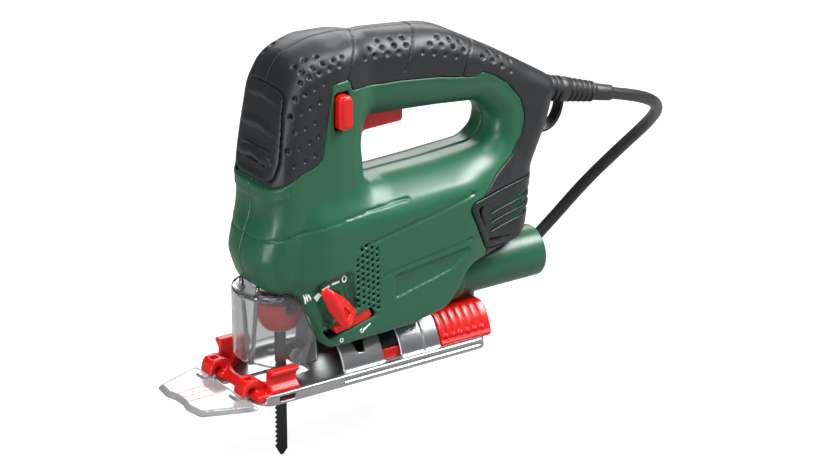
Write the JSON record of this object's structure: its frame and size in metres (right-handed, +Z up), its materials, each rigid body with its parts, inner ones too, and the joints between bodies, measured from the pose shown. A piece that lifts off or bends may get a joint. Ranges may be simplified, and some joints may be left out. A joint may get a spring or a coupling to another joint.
{
  "type": "jigsaw power tool",
  "caption": "Corded D-handle jigsaw with orbital action, clear chip hood, stamped sole, saw blade and coiled mains cord",
  "frame": {"origin": "on the sole plane, on the line of the saw blade", "axes": "+Z up, away from the work; -X is the cutting direction (front); -Y is the tool's left side"},
  "size_m": [0.3764, 0.221, 0.2509],
  "materials": {
    "green_plastic": "satin moulded polyamide, fine texture",
    "soft_grip": "matt soft overmould",
    "red_plastic": "moulded, semi-gloss",
    "black_plastic": "moulded, matt",
    "clear_plastic": "clear polycarbonate",
    "sheet_steel": "zinc plated pressed steel",
    "machined_steel": "turned and ground",
    "blade_steel": "dark phosphated blade steel",
    "cast_alloy": "die-cast zinc alloy",
    "laminations": "stacked electrical sheet",
    "copper": "enamelled copper wire",
    "carbon": "pressed carbon",
    "cord_rubber": "matt rubber sheath",
    "screw_steel": "blackened screw steel",
    "plug_metal": "nickel plated pins",
    "lead_sheath": "insulated inner leads"
  },
  "bodies": {
    "housing": {"housing_left": "green_plastic", "housing_right": "green_plastic", "grip_left": "soft_grip", "grip_right": "soft_grip", "front_grip_pad": "soft_grip", "rear_vent_left": "black_plastic", "rear_vent_right": "black_plastic", "housing_screws": "screw_steel", "stator_core": "laminations", "field_coils": "copper", "front_bearing": "machined_steel", "rear_bearing": "machined_steel", "carbon_brushes": "carbon", "brush_holders": "black_plastic", "gear_case": "cast_alloy", "gear_axle": "machined_steel", "pendulum_pin": "machined_steel", "rod_guides": "cast_alloy", "trigger_spring": "machined_steel", "switch_module": "black_plastic", "cord_sleeve": "cord_rubber", "sleeve_strap": "cord_rubber", "cord_clamp": "black_plastic", "inner_leads": "lead_sheath", "suppressor": "black_plastic", "cord_coil": "cord_rubber", "mains_cord": "cord_rubber", "plug_body": "cord_rubber", "plug_pins": "plug_metal", "base_plate": "sheet_steel", "base_saddle": "sheet_steel", "saddle_insert": "red_plastic", "clamp_screw": "screw_steel", "base_carrier": "red_plastic", "finger_guard": "blade_steel"},
    "armature": {"armature_core": "laminations", "armature_windings": "copper", "armature_shaft": "machined_steel", "commutator": "copper", "cooling_fan": "black_plastic"},
    "gear": {"crank_gear": "machined_steel"},
    "rod": {"stroke_rod": "machined_steel", "blade_clamp": "machined_steel"},
    "sds": {"sds_lever": "red_plastic"},
    "blade": {"saw_blade": "blade_steel"},
    "pendulum": {"pendulum_lever": "cast_alloy", "roller_pin": "machined_steel"},
    "roller": {"guide_roller": "machined_steel"},
    "selector": {"orbit_selector": "red_plastic", "selector_shaft": "machined_steel"},
    "blower": {"blower_slider": "red_plastic"},
    "trigger": {"trigger": "red_plastic"},
    "lock": {"lock_button": "red_plastic"},
    "hood": {"chip_hood": "clear_plastic"},
    "guide": {"cut_guide": "clear_plastic"},
    "depot": {"blade_depot": "red_plastic", "spare_blades": "blade_steel"},
    "key": {"hex_key": "screw_steel"},
    "tube": {"dust_tube": "green_plastic"}
  },
  "joints": [
    {"name": "trigger_pull", "type": "slide", "parent": "housing", "child": "trigger", "axis": [0, 0, 1], "range_m": [0, 0.005], "stiffness_N_per_m": 1200, "springref_m": -0.002, "deforming": ["trigger_spring"]},
    {"name": "lock_push", "type": "slide", "parent": "housing", "child": "lock", "axis": [0, 1, 0], "range_m": [0, 0.003], "stiffness_N_per_m": 600, "springref_m": -0.0015},
    {"name": "armature_spin", "type": "hinge", "parent": "housing", "child": "armature", "pos_m": [0.07, 0, 0.068], "axis": [1, 0, 0], "continuous": true},
    {"name": "gear_spin", "type": "hinge", "parent": "housing", "child": "gear", "pos_m": [0.02, 0, 0.0924], "axis": [1, 0, 0], "continuous": true},
    {"name": "rod_stroke", "type": "slide", "parent": "housing", "child": "rod", "axis": [0, 0, 1], "range_m": [-0.01, 0.01]},
    {"name": "sds_turn", "type": "hinge", "parent": "rod", "child": "sds", "pos_m": [0, 0, 0.037], "axis": [0, 0, 1], "range_deg": [0, 60], "stiffness_Nm_per_rad": 0.05, "springref_deg": -11.46},
    {"name": "blade_release", "type": "slide", "parent": "rod", "child": "blade", "axis": [0, 0, -1], "range_m": [0, 0.012]},
    {"name": "pendulum_swing", "type": "hinge", "parent": "housing", "child": "pendulum", "pos_m": [0.0198, 0, 0.047], "axis": [0, 1, 0], "range_deg": [-3, 0], "stiffness_Nm_per_rad": 0.2, "springref_deg": 5.73},
    {"name": "roller_spin", "type": "hinge", "parent": "pendulum", "child": "roller", "pos_m": [0.0092, 0, 0.012], "axis": [0, 1, 0], "continuous": true},
    {"name": "orbit_select", "type": "hinge", "parent": "housing", "child": "selector", "pos_m": [0.0215, -0.03, 0.048], "axis": [0, 1, 0], "range_deg": [0, 46]},
    {"name": "blower_slide", "type": "slide", "parent": "housing", "child": "blower", "axis": [-1, 0, 0], "range_m": [0, 0.012]},
    {"name": "hood_slide", "type": "slide", "parent": "housing", "child": "hood", "axis": [-1, 0, 0], "range_m": [0, 0.03]},
    {"name": "guide_slide", "type": "slide", "parent": "housing", "child": "guide", "axis": [-1, 0, 0], "range_m": [0, 0.012]},
    {"name": "depot_slide", "type": "slide", "parent": "housing", "child": "depot", "axis": [1, 0, 0], "range_m": [0, 0.035]},
    {"name": "key_slide", "type": "slide", "parent": "housing", "child": "key", "axis": [1, 0, 0], "range_m": [0, 0.045]},
    {"name": "tube_slide", "type": "slide", "parent": "housing", "child": "tube", "axis": [1, 0, 0], "range_m": [0, 0.022]}
  ],
  "couplings": [
    {"joint": "gear_spin", "follows": "armature_spin", "ratio": -0.17308}
  ]
}
